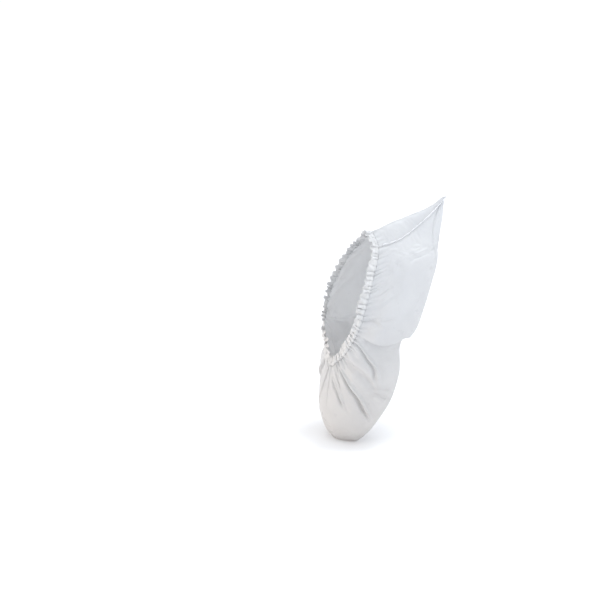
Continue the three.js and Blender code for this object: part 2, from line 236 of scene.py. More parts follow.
# The hem's profile in millimetres: how far up it each point is, its half thickness, how far the
# ruffles swing and swell it in the elastic's channel, and how far the frill's loops swing it.
HEM_COLUMNS = ("up", "half", "swing", "swell", "loop")
HEM_PROFILE = [
    (0.0, 0.22, 1.3, 0.3, 0.0),
    (0.9, 0.34, 1.5, 0.5, 0.0),
    (1.9, 0.60, 1.9, 0.9, 0.0),
    (2.9, 0.78, 2.1, 1.0, 0.0),
    (3.9, 0.62, 1.9, 0.9, 0.1),
    (4.7, 0.40, 1.4, 0.6, 0.3),
    (5.6, 0.32, 1.2, 0.5, 0.6),
    (6.8, 0.30, 1.0, 0.5, 1.1),
    (8.1, 0.28, 0.8, 0.4, 1.5),
    (9.5, 0.26, 0.7, 0.3, 1.9),
    (10.8, 0.20, 0.7, 0.3, 2.1),
]
# How far its top is lifted and leant by each ruffle and loop, how upright it stands, and how far
# below the rim and how many points apart its directions are measured.
HEM_LIFT = 1.6 * MM
HEM_LEAN = 1.6 * MM
HEM_STAND = 0.6
HEM_SPREAD = 0.06
HEM_NEAR = 3

# The heel seam's profile in millimetres: how far it stands off the film and its half thickness.
SEAM_COLUMNS = ("up", "half")
SEAM_PROFILE = [(-0.3, 0.5), (0.6, 0.45), (1.4, 0.35), (2.2, 0.3), (2.8, 0.22)]
# Its top edge wavers by this much: how fast, how fast its spacing wavers too, and how much.
SEAM_WAVER = 0.35 * MM
SEAM_WAVES = (95, 23, 2)

# Puckers beside the heel weld. They are spaced unevenly by waves of so many turns, a size and a
# start, come in patches and fade out at both ends. The pitch is the distance between ribs there.
PUCKERS = 20
PUCKER_UNEVEN = [(3, 0.5, 0.4), (7, 0.35, 2.0)]
PUCKER_PATCHES = 2.3
PUCKER_PATCH_START = 0.1
PUCKER_DEPTH = 0.6 * MM
PUCKER_REACH = 4 * MM
PUCKER_END = 0.1
HEEL_PITCH = 20 * MM

# The film beside the heel's point stands up a little, most at this distance from the point.
BLUNT_RISE = 3.2 * MM
BLUNT_REACH = 10 * MM

# How closely the mesh's columns stand beside the closest, by rib, and its rows, by height.
COLUMN_DENSITY = {5: 0.65, 7: 1}
ROW_DENSITY = {0.2: 0.6, 0.4: 1}
# Heights up the side where the film's length is measured for that. The hem counts twice.
LENGTH_LINES = (0.0, 0.25, 0.5, 0.75, 1.0, 1.0)

# The films' looks, by material. dark and light are the mottle's two whites, and roughness goes
# from its least to its most.
LOOK_COLUMNS = ("dark", "light", "roughness", "see_through", "emboss", "crinkle")
LOOKS = {
    "film": ((0.70, 0.705, 0.722), (0.735, 0.74, 0.752), (0.22, 0.38), 0.4, 0.4, 0.38),
    "hem_film": ((0.765, 0.77, 0.78), (0.815, 0.815, 0.82), (0.4, 0.55), 0.35, 0.4, 0.3),
    # The weld fin is painted far lighter than the film around it: a painted highlight along the
    # seam.
    "seam_film": ((0.92, 0.93, 0.95), (0.96, 0.965, 0.98), (0.3, 0.42), 0.25, 0.4, 0.25),
}
FILM_SKIN = {"IOR": 1.5, "Sheen_Weight": 0.08, "Sheen_Roughness": 0.4}
# Textures have so many cells or waves to a metre.
MOTTLE = {"Scale": 26, "Detail": 4, "Roughness": 0.6}
MOTTLE_RANGE = (0.35, 0.65)
GLOSS = {"Scale": 90, "Detail": 3}
CRINKLE = {"Scale": 120, "Detail": 3, "Roughness": 0.5, "Distortion": 0.6}
CRINKLE_HEIGHT = 1.2 * MM
EMBOSS_SCALE = 950
EMBOSS_HEIGHT = 0.12 * MM
# Below this height the film is painted a little warmer and darker towards the floor, over the toes:
# painted see-through colour and shade of the beige shoe inside.
TOE_PAINTED_SHOE_TINT = (1.01, 0.968, 0.925, 1)
TOE_PAINTED_SHOE_TINT_TOP = -0.06
# The film's inner face is lighter, which stands for the light that comes through such thin film.
INSIDE = "inside"
INSIDE_COLOUR = (0.94, 0.945, 0.95, 1)

# Where a Mix node keeps its sockets for colours.
MIX_SHARE, MIX_FIRST, MIX_SECOND, MIX_RESULT = 0, 6, 7, 2

# The floor and the light of the studio.
FLOOR_HALF = 30
FLOOR_SKIN = {"Base_Color": (0.9, 0.9, 0.91, 1), "Roughness": 0.9, "Specular_IOR_Level": 0.1}
SKY_COLOUR = (0.945, 0.97, 1, 1)
SKY_STRENGTH = 1.15
# Round lamps that face the cover's middle: where each stands, its size, power and colour.
COVER_MIDDLE = (0, -0.06, -0.1)
LAMP_COLUMNS = ("name", "place", "size", "power", "colour")
LAMPS = [
    ("overhead", (0.1, 0.5, 1.8), 0.6, 13, (0.94, 0.975, 1)),
    ("side", (1.3, 0.5, 0.1), 0.8, 2.5, (0.88, 0.94, 1)),
    ("front", (-0.4, -1.5, 0), 0.9, 7.5, (1, 0.85, 0.67)),
]
# A narrow soft spot on the heel's pointed corner.
HEEL_SPOT = {
    "place": (0.9, -0.3, 0.5),
    "target": (0.01, 0.026, 0.06),
    "spread": math.radians(10),
    "radius": 0.05,
    "power": 8,
    "colour": (0.85, 0.92, 1),
}

# The camera stands where the photographer stood: so far round and up, and the frame is so wide
# where the cover stands, with its middle so far to the right of and above the frame's origin.
VIEW_AZIMUTH = math.radians(60)
VIEW_ELEVATION = math.radians(20)
VIEW_DISTANCE = 4.0
VIEW_WIDTH = 0.7426
VIEW_RIGHT, VIEW_UP = -0.1532, -0.0686

# The slack film's cloth simulation: a coarse grid that grows a little and is held softly in place.
# The least growth isn't 0, because the cloth doesn't move at all then.
SLACK_COLUMNS = 220
SLACK_ROWS = 52
SLACK_FRAMES = 20
SLACK_GROWTH = (0.01, 0.2)
SLACK_CLOTH = {
    "quality": 6,
    "mass": 0.05,
    "tension_stiffness": 20,
    "compression_stiffness": 20,
    "shear_stiffness": 10,
    "bending_stiffness": 0.04,
    "pin_stiffness": 1,
}
# The film is held everywhere a little, more towards the heel, and wholly at the hem and floor.
# Here and below, a pair is where something starts and ends, in ribs or heights up the side.
SLACK_HOLD = 0.03
SLACK_HOLD_HEEL = 0.25
SLACK_HEEL = (1, 4)
SLACK_HEM = (0.85, 0.95)
SLACK_FLOOR = 2 * MM
# How slack it is by rib, how much less towards the hem, how much more on the inner side and under
# the arch, and where along the bag and up the side the arch begins and ends.
SLACK_BY_RIB = {1: 0.05, 3: 0.2, 4.5: 0.75, 9: 0.75, 10.5: 0.4, 13: 0.15}
SLACK_LESS = 0.7
SLACK_LESS_FROM = (0.7, 0.9)
SLACK_INNER = 1.4
SLACK_ARCH = 0.5
ARCH_STARTS, ARCH_ENDS, ARCH_TOP = (3, 6), (8, 10), (0.2, 0.45)
# Its moves are capped, and what they have in common over a wide patch is cut to a small share.
SLACK_CAP = 2.2 * MM
SLACK_SWELL = 0.15
SLACK_PATCH = (10, 7)
# The moves fade out at the hem, from this height up the side, and just above the floor.
SLACK_FADE_HEM = 0.92
SLACK_FADE_FLOOR = 8 * MM


def hermite(before, a, b, after, t):
    """Smooth curve from a at t = 0 to b at t = 1, where before and after are their neighbours."""
    t2, t3 = t * t, t * t * t
    rise = (3 * t2 - 2 * t3) * b + (1 - 3 * t2 + 2 * t3) * a
    return rise + (t3 - 2 * t2 + t) * (b - before) / 2 + (t3 - t2) * (after - a) / 2


def smooth_step(start, end, value):
    """Eases from 0 at the start to 1 at the end."""
    x = np.clip((value - start) / (end - start), 0, 1)
    return x * x * (3 - 2 * x)


def by_table(table, value):
    """The table's value at a place, in a straight line between its keys."""
    return np.interp(value, list(table), list(table.values()))


def rib_point(rib, place, side):
    """A rib's point at one of the places, on either side."""
    point = RIBS[rib, place].copy()
    point[..., 1] *= side
    return point


def along_place(t, place, side):
    """Points between ribs at one of the places."""
    rib = np.minimum(np.floor(t).astype(int), LAST_RIB - 1)
    a, b = rib_point(rib, place, side), rib_point(rib + 1, place, side)
    round_heel, round_toe = rib == 0, rib + 1 == LAST_RIB
    last_rib = np.where(round_heel, 1, rib - 1)
    next_rib = np.where(round_toe, rib, np.minimum(rib + 2, LAST_RIB))
    behind = rib_point(last_rib, place, np.where(round_heel, -side, side))
    ahead = rib_point(next_rib, place, np.where(round_toe, -side, side))
    creased_start = ((rib == CREASED_RIB) & (side > 0))[..., None]
    creased_end = ((rib + 1 == CREASED_RIB) & (side > 0))[..., None]
    before = np.where(creased_start, 2 * a - b, behind)
    after = np.where(creased_end, 2 * b - a, ahead)
    return hermite(before, a, b, after, (t - rib)[..., None])


def smooth_point(t, v, side):
    """The bag's smooth surface."""
    scaled = v * LAST_PLACE
    place = np.minimum(np.floor(scaled).astype(int), LAST_PLACE - 1)
    a, b = along_place(t, place, side), along_place(t, place + 1, side)
    first = place == 0
    before = along_place(t, np.where(first, 1, place - 1), np.where(first, -side, side))
    further = along_place(t, np.minimum(place + 2, LAST_PLACE), side)
    after = np.where((place == LAST_PLACE - 1)[..., None], 2 * b - a, further)
    return hermite(before, a, b, after, (scaled - place)[..., None])


def unit(vectors):
    """The vectors at length 1."""
    return vectors / np.maximum(np.linalg.norm(vectors, axis=-1, keepdims=True), 1e-12)


def smooth_normal(t, v, side):
    """Outward normal of the smooth surface."""
    t0, t1 = np.maximum(t - NORMAL_STEP, 0), np.minimum(t + NORMAL_STEP, LAST_RIB)
    v0, v1 = np.maximum(v - NORMAL_STEP, 0), np.minimum(v + NORMAL_STEP, 1)
    along_length = smooth_point(t1, v, side) - smooth_point(t0, v, side)
    up_side = smooth_point(t, v1, side) - smooth_point(t, v0, side)
    return unit(np.cross(up_side, along_length)) * side[..., None]


def lane_points(lane):
    """A smooth line of points along a fold's lane, in a flat chart in metres."""
    corners = np.array(lane) * (RIB_PITCH, SIDE_RISE)
    before = 2 * corners[:1] - corners[1:2]
    after = 2 * corners[-1:] - corners[-2:-1]
    padded = np.concatenate([before, corners, after])
    place = np.linspace(0, len(corners) - 1, LANE_PIECES + 1)
    k = np.minimum(place.astype(int), len(corners) - 2)
    return hermite(padded[k], padded[k + 1], padded[k + 2], padded[k + 3], (place - k)[:, None])


def lane_distance(t, v, lane):
    """Distance from a lane, positive on the heel-ward side, and how far along it, from 0 to 1."""
    line = lane_points(lane)
    x, y = t * RIB_PITCH, v * SIDE_RISE
    nearest = np.full_like(x, np.inf)
    signed, along = np.zeros_like(x), np.zeros_like(x)
    for k in range(LANE_PIECES):
        (ax, ay), (dx, dy) = line[k], line[k + 1] - line[k]
        share = np.clip(((x - ax) * dx + (y - ay) * dy) / (dx * dx + dy * dy), 0, 1)
        gap = np.hypot(x - ax - share * dx, y - ay - share * dy)
        closer = gap < nearest
        nearest = np.where(closer, gap, nearest)
        turn = np.sign(dx * (y - ay) - dy * (x - ax))
        signed = np.where(closer, gap * turn, signed)
        along = np.where(closer, (k + share) / LANE_PIECES, along)
    return signed, along


def fold_height(t, v, side):
    """How high the drawn folds raise the film."""
    height = np.zeros_like(t)
    for row in FOLDS:
        fold = dict(zip(FOLD_COLUMNS, row))
        signed, along = lane_distance(t, v, fold["lane"])
        x = signed / (fold["width"] * MM)
        steep = 1 - FOLD_STEEPNESS * fold["crisp"]
        hollow = -np.exp(-((x / np.where(x > 0, steep, 1)) ** 2))
        from_roll = (x - ROLL["place"]) / ROLL["width"]
        roll = ROLL["height"] * fold["roll"] * np.exp(-(from_roll**2))
        starts = smooth_step(0, FOLD_FADE, along)
        ends = 1 - (1 - FOLD_REST) * smooth_step(FOLD_HEM, 1, v)
        height += fold["depth"] * MM * (hollow + roll) * starts * ends * (side == fold["side"])
    return height


def pleat_fade(v, side):
    """How much of the pleat there is at a height up each side."""
    starts = smooth_step(PLEAT["start"], PLEAT["start"] + PLEAT["fade"], v)
    ends = 1 - smooth_step(PLEAT["end"] - PLEAT["fade"], PLEAT["end"], v)
    return starts * ends * np.where(side > 0, 1, PLEAT["inner"])


def behind_pleat(t, v):
    """How far behind the pleat's crease a place is, in ribs."""
    crease = smooth_step(PLEAT["bend"], PLEAT["bend_end"], v)
    return PLEAT["foot"] + (PLEAT["head"] - PLEAT["foot"]) * crease - t


def pleat_height(t, v, side):
    """How high the pleat raises the film: a bulge with a rounded lip behind, and a dip in front."""
    behind = behind_pleat(t, v)
    bulge = PLEAT["bulge"] * np.exp(-((behind / PLEAT["reach"]) ** 2))
    lip = PLEAT["lip"] * np.maximum(0, 1 - behind / PLEAT["round"]) ** 2
    dip = PLEAT["dip"] * np.exp(-((behind / PLEAT["recovery"]) ** 2))
    turn = smooth_step(-PLEAT["turn"], PLEAT["turn"], behind)
    return (turn * (bulge - lip) - (1 - turn) * dip) * pleat_fade(v, side)


def pleat_lap(t, v, side):
    """How far the bulge's edge reaches forward over the crease, in ribs."""
    behind = behind_pleat(t, v)
    reach = np.exp(-(((behind - PLEAT["lap_width"]) / PLEAT["lap_width"]) ** 2))
    starts = smooth_step(PLEAT["lap_start"], PLEAT["lap_end"], v)
    return PLEAT["lap"] * reach * pleat_fade(v, side) * starts


def rim_lengths():
    """Ribs and the arc length along the rim up to each, on one side."""
    t = np.linspace(0, LAST_RIB, RIM_STEPS * LAST_RIB + 1)
    rim = smooth_point(t, np.ones_like(t), np.ones_like(t))
    steps = np.linalg.norm(np.diff(rim, axis=0), axis=1)
    return t, np.concatenate([[0], np.cumsum(steps)])


RIM_T, RIM_LENGTH = rim_lengths()
HEM_LENGTH = 2 * RIM_LENGTH[-1]


def loop_share(t, side):
    """How far round the hem a rib meets it, from 0 to 1: down the outer side, back up the inner."""
    share = np.interp(t, RIM_T, RIM_LENGTH) / HEM_LENGTH
    return np.where(side > 0, share, 1 - share)


def loop_place(share):
    """Rib and side at a share of the way round the hem."""
    length = (1 - np.abs(1 - 2 * share)) * RIM_LENGTH[-1]
    return np.interp(length, RIM_LENGTH, RIM_T), np.where(share < 0.5, 1.0, -1.0)


def cell_at(share, edges):
    """Which cell holds a place round the hem, and how far across that cell it is, 0 to 1."""
    last = len(edges) - 2
    k = np.clip(np.searchsorted(edges, share, side="right") - 1, 0, last)
    return k, (share - edges[k]) / (edges[k + 1] - edges[k])


def cell_value(values, k, across):
    """A quantity of each cell, blended into its neighbours' near its edges."""
    before, after = values[k - 1], values[(k + 1) % len(values)]
    middle = np.sin(np.pi * across) ** 2
    edge = (values[k] + np.where(across < 0.5, before, after)) / 2
    return middle * values[k] + (1 - middle) * edge


def ruffle_wave(share):
    """Puffs of each ruffle's size, with pinched creases between them."""
    k, across = cell_at(share, RUFFLE_EDGES)
    puff = np.sin(np.pi * across) ** RUFFLE_POWER
    return RUFFLE_SIZES[k] * puff - RUFFLE_PINCH * (1 - puff)


def uneven(share, terms):
    """A sum of waves along a line, each with a rate, a size and a start."""
    return sum(size * np.sin(2 * np.pi * rate * share + start) for rate, size, start in terms)


def crease_depth(edge, row, around, down):
    """How deep one crease is at places so far round the hem and so far down from it."""
    size, length, slope = row
    rib, _ = loop_place(np.array(edge))
    here = edge * HEM_LENGTH + slope * CREASE_SLANT * down
    apart = (around - here + HEM_LENGTH / 2) % HEM_LENGTH - HEM_LENGTH / 2
    wide = CREASE_WIDTH + CREASE_SPREAD * down
    reach = by_table(CREASE_REACH, rib) * MM * (CREASE_LEAST + length)
    taper = 1 - smooth_step(CREASE_WHOLE, 1, down / reach)
    depth = CREASE_DEPTH * size * by_table(CREASE_STRENGTH, rib)
    return depth * np.exp(-((apart / wide) ** 2)) * taper


def gather_height(t, v, side):
    """How high the elastic's ruffles raise the film, with the creases that run down from them."""
    share = loop_share(t, side)
    height = RUFFLE_HEIGHT * ruffle_wave(share) * smooth_step(RUFFLE_RISE, 1.0, v)
    around, down = share * HEM_LENGTH, (1 - v) * SIDE_RISE
    for edge, *row in zip(RUFFLE_EDGES, CREASE_SIZES, CREASE_LENGTHS, CREASE_SLOPES):
        height -= crease_depth(edge, row, around, down)
    return height


def pucker_height(t, v, side):
    """Small puckers in the film beside the heel weld."""
    share = (v - SEAM_FROM) / (SEAM_TO - SEAM_FROM)
    beat = np.sin(np.pi * (PUCKERS * share + uneven(share, PUCKER_UNEVEN)))
    patches = np.sin(2 * np.pi * (PUCKER_PATCHES * share + PUCKER_PATCH_START))
    strength = 0.5 + 0.5 * patches
    near = np.exp(-np.abs(t - CREASED_RIB) * HEEL_PITCH / PUCKER_REACH)
    inside = smooth_step(0, PUCKER_END, share) * (1 - smooth_step(1 - PUCKER_END, 1, share))
    return -PUCKER_DEPTH * beat**2 * strength * near * inside * (side > 0)


def leaned(points):
    """The pointed corner behind the heel leans to the outer side."""
    share = np.maximum(0, (CORNER_START - points[..., 0]) / (CORNER_START - RIBS[0, 0, 0]))
    points[..., 1] += CORNER_LEAN * share**CORNER_POWER
    return points


# The shoe's axes in the frame: toe-ward, outer side, instep.
SHOE_AXES = np.array(
    [
        [0, -math.cos(FOOT_PITCH), -math.sin(FOOT_PITCH)],
        [1, 0, 0],
        [0, -math.sin(FOOT_PITCH), math.cos(FOOT_PITCH)],
    ]
)


def placed(points):
    """Shoe coordinates in the frame, flat where the toe is pressed on the floor."""
    world = points @ SHOE_AXES
    world[..., 2] = np.maximum(world[..., 2], FLOOR)
    return world


TIP = placed(leaned(RIBS[0, 0].copy()))


def blunted(points):
    """The film beside the heel's point stands up a little, which makes the point blunter."""
    away = np.linalg.norm(points - TIP, axis=-1) / BLUNT_REACH
    points[..., 2] += BLUNT_RISE * away * np.exp(1 - away)
    return points


def film_point(t, v, side):
    """The film's outer surface, in the frame."""
    height = fold_height(t, v, side) + pleat_height(t, v, side)
    height += gather_height(t, v, side) + pucker_height(t, v, side)
    lapped = t + pleat_lap(t, v, side)
    point = smooth_point(lapped, v, side) + smooth_normal(t, v, side) * height[..., None]
    return blunted(placed(leaned(point)))


def mesh_object(name, points, faces, material):
    """A smooth-shaded piece in the scene."""
    mesh = bpy.data.meshes.new(name)
    mesh.from_pydata(points.tolist(), [], [tuple(map(int, f)) for f in faces])
    mesh.validate()
    mesh.materials.append(material)
    mesh.shade_smooth()
    piece = bpy.data.objects.new(name, mesh)
    bpy.context.scene.collection.objects.link(piece)
    return piece


def vertex_normals(points, faces):
    """Area-weighted normals of a mesh of quads, some of which may have two corners in one place."""
    quads = np.asarray([f if len(f) == 4 else (*f, f[-1]) for f in faces])
    corners = points[quads]
    face_normals = np.cross(corners[:, 2] - corners[:, 0], corners[:, 3] - corners[:, 1])
    normals = np.zeros_like(points)
    for k in range(4):
        np.add.at(normals, quads[:, k], face_normals)
    return unit(normals)


def spaced(values, weights, count):
    """So many values picked along a list, closer together where the weights are larger."""
    total = np.concatenate([[0], np.cumsum(weights)])
    return np.interp(np.linspace(0, total[-1], count + 1), total, values)


def film_columns(count):
    """Ribs of the mesh's columns: even along the film, and closer over the toes' folds."""
    t = np.linspace(0, LAST_RIB, FILM_STEPS * LAST_RIB + 1)
    lengths = np.zeros(len(t) - 1)
    for v in LENGTH_LINES:
        line = smooth_point(t, np.full_like(t, v), np.ones_like(t))
        lengths += np.linalg.norm(np.diff(line, axis=0), axis=1)
    return spaced(t, lengths * by_table(COLUMN_DENSITY, t[1:]), count)


def film_rows(count):
    """Heights up the side of the mesh's rows: closer where the folds are."""
    v = np.linspace(0, 1, SIDE_STEPS + 1)
    return spaced(v, by_table(ROW_DENSITY, v[1:]), count)


def film_grid(columns, rows):
    """A grid on the bag: ribs, heights, sides, points in use and their numbers in the grid.

    The two sides share their points at the heel and toe welds.
    """
    t, v = film_columns(columns), film_rows(rows)
    signed = np.concatenate([-v[:0:-1], v])
    grid_t, grid_v = np.meshgrid(t, signed, indexing="ij")
    side = np.where(grid_v < 0, -1.0, 1.0)
    index = np.arange(grid_t.size).reshape(grid_t.shape)
    for weld in (0, -1):
        index[weld, :rows] = index[weld, :rows:-1]
    used, compact = np.unique(index, return_inverse=True)
    return grid_t, np.abs(grid_v), side, used, compact.reshape(index.shape)


def grid_faces(index):
    """Faces of the grid, with three corners where a face meets a weld's end."""
    corners = [index[:-1, :-1], index[:-1, 1:], index[1:, 1:], index[1:, :-1]]
    quads = np.stack(corners, -1).reshape(-1, 4)
    faces = [tuple(dict.fromkeys(q.tolist())) for q in quads]
    return [f for f in faces if len(f) > 2]


def blurred(values, columns, rows):
    """Values on a grid, averaged over so many neighbours each way, twice."""
    for axis, reach in ((0, columns), (1, rows), (0, columns), (1, rows)):
        pad = [(0, 0)] * 3
        pad[axis] = (reach + 1, reach)
        total = np.cumsum(np.pad(values, pad, mode="edge"), axis=axis)
        width = 2 * reach + 1
        far = np.take(total, range(width, total.shape[axis]), axis=axis)
        near = np.take(total, range(total.shape[axis] - width), axis=axis)
        values = (far - near) / width
    return values


def held_share(t, v):
    """How firmly the film is held in its drawn shape: at the hem and towards the heel."""
    hem = smooth_step(*SLACK_HEM, v)
    heel = SLACK_HOLD_HEEL * (1 - smooth_step(*SLACK_HEEL, t))
    return SLACK_HOLD + (1 - SLACK_HOLD) * np.maximum(hem, heel)


def slack_share(t, v, side):
    """How slack the film is, from 0 to 1: most under the arch and on the inner side."""
    share = by_table(SLACK_BY_RIB, t) * (1 - SLACK_LESS * smooth_step(*SLACK_LESS_FROM, v))
    arch = smooth_step(*ARCH_STARTS, t) * (1 - smooth_step(*ARCH_ENDS, t))
    arch *= 1 - smooth_step(*ARCH_TOP, v)
    return np.clip(share * np.where(side < 0, SLACK_INNER, 1) + SLACK_ARCH * arch, 0, 1)


def weigh(piece, name, weights):
    """A vertex group with a weight for each vertex."""
    group = piece.vertex_groups.new(name=name)
    for k, weight in enumerate(weights):
        group.add([k], float(weight), "REPLACE")


def crumpled(piece, start):
    """Where a piece's vertices end when it grows as cloth, held by its groups hold and slack."""
    cloth = piece.modifiers.new("cloth", "CLOTH")
    for name, value in SLACK_CLOTH.items():
        setattr(cloth.settings, name, value)
    cloth.settings.effector_weights.gravity = 0
    cloth.settings.vertex_group_mass = "hold"
    cloth.settings.vertex_group_shrink = "slack"
    cloth.settings.shrink_min = -SLACK_GROWTH[0]
    cloth.settings.shrink_max = -SLACK_GROWTH[1]
    cloth.collision_settings.use_collision = False
    cloth.collision_settings.use_self_collision = False
    cloth.point_cache.frame_start = 1
    cloth.point_cache.frame_end = SLACK_FRAMES
    for step in range(1, SLACK_FRAMES + 1):
        bpy.context.scene.frame_set(step)
    settled = piece.evaluated_get(bpy.context.evaluated_depsgraph_get()).data
    end = np.empty(start.size)
    settled.vertices.foreach_get("co", end)
    bpy.context.scene.frame_set(1)
    return end.reshape(-1, 3)


def slack_moves():
    """How far slack film crumples from its drawn shape, on a coarse grid."""
    t, v, side, used, index = film_grid(SLACK_COLUMNS, SLACK_ROWS)
    start = film_point(t, v, side).reshape(-1, 3)[used]
    t, v, side = (values.reshape(-1)[used] for values in (t, v, side))
    mesh = bpy.data.meshes.new("slack_film")
    mesh.from_pydata(start.tolist(), [], grid_faces(index))
    piece = bpy.data.objects.new("slack_film", mesh)
    bpy.context.scene.collection.objects.link(piece)
    weigh(piece, "hold", np.where(start[:, 2] < FLOOR + SLACK_FLOOR, 1, held_share(t, v)))
    weigh(piece, "slack", slack_share(t, v, side))
    moves = crumpled(piece, start) - start
    bpy.data.objects.remove(piece)
    bpy.data.meshes.remove(mesh)
    lengths = np.linalg.norm(moves, axis=1, keepdims=True)
    moves *= SLACK_CAP / np.maximum(lengths, SLACK_CAP)
    moves = moves[index]
    return moves - (1 - SLACK_SWELL) * blurred(moves, *SLACK_PATCH)


def resampled(values, columns, rows):
    """Values on a grid, eased between its corners onto a grid of so many columns and rows."""
    last_i, last_j = values.shape[0] - 1, values.shape[1] - 1
    across = np.linspace(0, last_i, columns + 1)
    up = np.linspace(0, last_j, rows + 1)
    i = np.minimum(across.astype(int), last_i - 1)
    j = np.minimum(up.astype(int), last_j - 1)
    a = smooth_step(0, 1, across - i)[:, None, None]
    b = smooth_step(0, 1, up - j)[None, :, None]
    low = values[i][:, j] * (1 - a) + values[i + 1][:, j] * a
    high = values[i][:, j + 1] * (1 - a) + values[i + 1][:, j + 1] * a
    return low * (1 - b) + high * b


def loose_share(points, v):
    """How much of its moves the slack film keeps: none at the hem and on the floor."""
    hem = 1 - smooth_step(SLACK_FADE_HEM, 1, v)
    return hem * smooth_step(0, SLACK_FADE_FLOOR, points[..., 2] - FLOOR)


def make_film(material):
    """The bag: an outer and an inner face, joined by a lip at the hem."""
    t, v, side, used, index = film_grid(COLUMNS, ROWS)
    points = film_point(t, v, side)
    moves = resampled(slack_moves(), COLUMNS, 2 * ROWS)
    points = points + moves * loose_share(points, v)[..., None]
    points = points.reshape(-1, 3)[used]
    points[:, 2] = np.maximum(points[:, 2], FLOOR)

    faces = grid_faces(index)
    normals = vertex_normals(points, faces)
    inner = points - normals * FILM_THICKNESS
    inner[:, 2] = np.maximum(inner[:, 2], FLOOR + FILM_THICKNESS / 2)
    count = len(points)
    inside = [tuple(count + k for k in reversed(f)) for f in faces]
    rim = [*index[:, -1], *index[-2:0:-1, 0]]
    lip = [(a, a + count, b + count, b) for a, b in zip(rim, rim[1:] + rim[:1])]
    both = np.concatenate([points, inner])
    film = mesh_object("film_bag_film", both, faces + inside + lip, material)
    backing = film.data.attributes.new(INSIDE, "FLOAT", "POINT")
    backing.data.foreach_set("value", np.repeat([0.0, 1.0], count))
    return film


def swept(name, rings, closed, material):
    """A closed body swept through rings of points, shape (frames, points in a ring, 3)."""
    frames, sides = rings.shape[:2]
    index = np.arange(frames * sides).reshape(frames, sides)
    following = np.roll(index, -1, axis=0)
    if not closed:
        index, following = index[:-1], following[:-1]
    corners = [index, following, np.roll(following, -1, axis=1), np.roll(index, -1, axis=1)]
    faces = np.stack(corners, -1).reshape(-1, 4).tolist()
    if not closed:
        faces.append(list(range(sides)))
        faces.append([(frames - 1) * sides + k for k in reversed(range(sides))])
    return mesh_object(name, rings.reshape(-1, 3), faces, material)


def hem_directions(t, side):
    """Ways along the rim, up the hem and out from it."""
    below = placed(smooth_point(t, np.full_like(t, 1 - HEM_SPREAD), side))
    edge = placed(smooth_point(t, np.ones_like(t), side))
    ahead = unit(np.roll(edge, -HEM_NEAR, axis=0) - np.roll(edge, HEM_NEAR, axis=0))
    up = unit(unit(edge - below) + np.array([0, 0, HEM_STAND]))
    return ahead, up, unit(np.cross(up, ahead))


def wall_ring(rings, way):
    """Points round a thin wall at each place along it, from its centres and half thicknesses."""
    front = [centre + way * half for centre, half in rings]
    back = [centre - way * half for centre, half in rings]
    return np.stack(front + back[::-1], axis=1)


def make_hem(material):
    """The gathered hem: a channel for the elastic with a looped frill above it."""
    share = (np.arange(HEM_FRAMES) + 0.5) / HEM_FRAMES
    t, side = loop_place(share)
    rim = film_point(t, np.ones_like(t), side)
    ahead, up, out = hem_directions(t, side)
    k, across = cell_at(share, RUFFLE_EDGES)
    wave = ruffle_wave(share)
    swell = -np.sin(2 * np.pi * across) * RUFFLE_WIDTHS[k]
    lean = cell_value(RUFFLE_LEANS, k, across)
    lift = cell_value(RUFFLE_LIFTS, k, across)
    loop, turn = cell_at(share, LOOP_EDGES)
    size = cell_value(LOOP_SIZES, loop, turn)
    length = (LOOP_EDGES[loop + 1] - LOOP_EDGES[loop]) * HEM_LENGTH
    loop_wave = size * np.cos(2 * np.pi * turn)
    loop_neck = LOOP_NECK * length * size * np.sin(4 * np.pi * turn)
    loop_lift = cell_value(LOOP_LIFTS, loop, turn)
    top = dict(zip(HEM_COLUMNS, HEM_PROFILE[-1]))
    rings = []
    for row in HEM_PROFILE:
        profile = dict(zip(HEM_COLUMNS, row))
        high = profile["up"] / top["up"]
        frill = profile["loop"] / top["loop"]
        swing = (profile["swing"] * MM - RUFFLE_HEIGHT) * wave + profile["loop"] * MM * loop_wave
        sway = profile["swell"] * MM * swell + HEM_LEAN * high**2 * lean + frill * loop_neck
        rise = profile["up"] * MM + HEM_LIFT * high**2 * (lift + loop_lift) / 2
        centre = rim + out * swing[:, None] + ahead * sway[:, None] + up * rise[:, None]
        rings.append((centre, profile["half"] * MM))
    return swept("elastic_hem_ruffle", wall_ring(rings, out)[:, ::-1], True, material)


def make_seam(material):
    """The weld's fin, which stands off the film along the line behind the heel."""
    v = np.linspace(SEAM_FROM, SEAM_TO, SEAM_FRAMES)
    t, side = np.full_like(v, CREASED_RIB), np.ones_like(v)
    foot = film_point(t, v, side)
    before = smooth_normal(t - 2 * NORMAL_STEP, v, side)
    after = smooth_normal(t + 2 * NORMAL_STEP, v, side)
    out = unit(before + after) @ SHOE_AXES
    across = unit(np.cross(np.gradient(foot, axis=0), out))
    fast, slow, sway = SEAM_WAVES
    waver = SEAM_WAVER * np.sin(fast * v + sway * np.sin(slow * v))
    top = dict(zip(SEAM_COLUMNS, SEAM_PROFILE[-1]))
    rings = []
    for row in SEAM_PROFILE:
        profile = dict(zip(SEAM_COLUMNS, row))
        high = max(profile["up"], 0) / top["up"]
        centre = foot + out * profile["up"] * MM + across * (waver * high)[:, None]
        rings.append((centre, profile["half"] * MM))
    return swept("heel_seam_weld", wall_ring(rings, across), False, material)


def node(tree, kind, **values):
    """A shader node, with its settings and its inputs' values by name."""
    made = tree.nodes.new(kind)
    for name, value in values.items():
        if hasattr(made, name):
            setattr(made, name, value)
        else:
            made.inputs[name.replace("_", " ")].default_value = value
    return made


def noise(tree, place, **values):
    """A noise texture over the piece."""
    made = node(tree, "ShaderNodeTexNoise", **values)
    tree.links.new(place, made.inputs["Vector"])
    return made.outputs["Fac"]


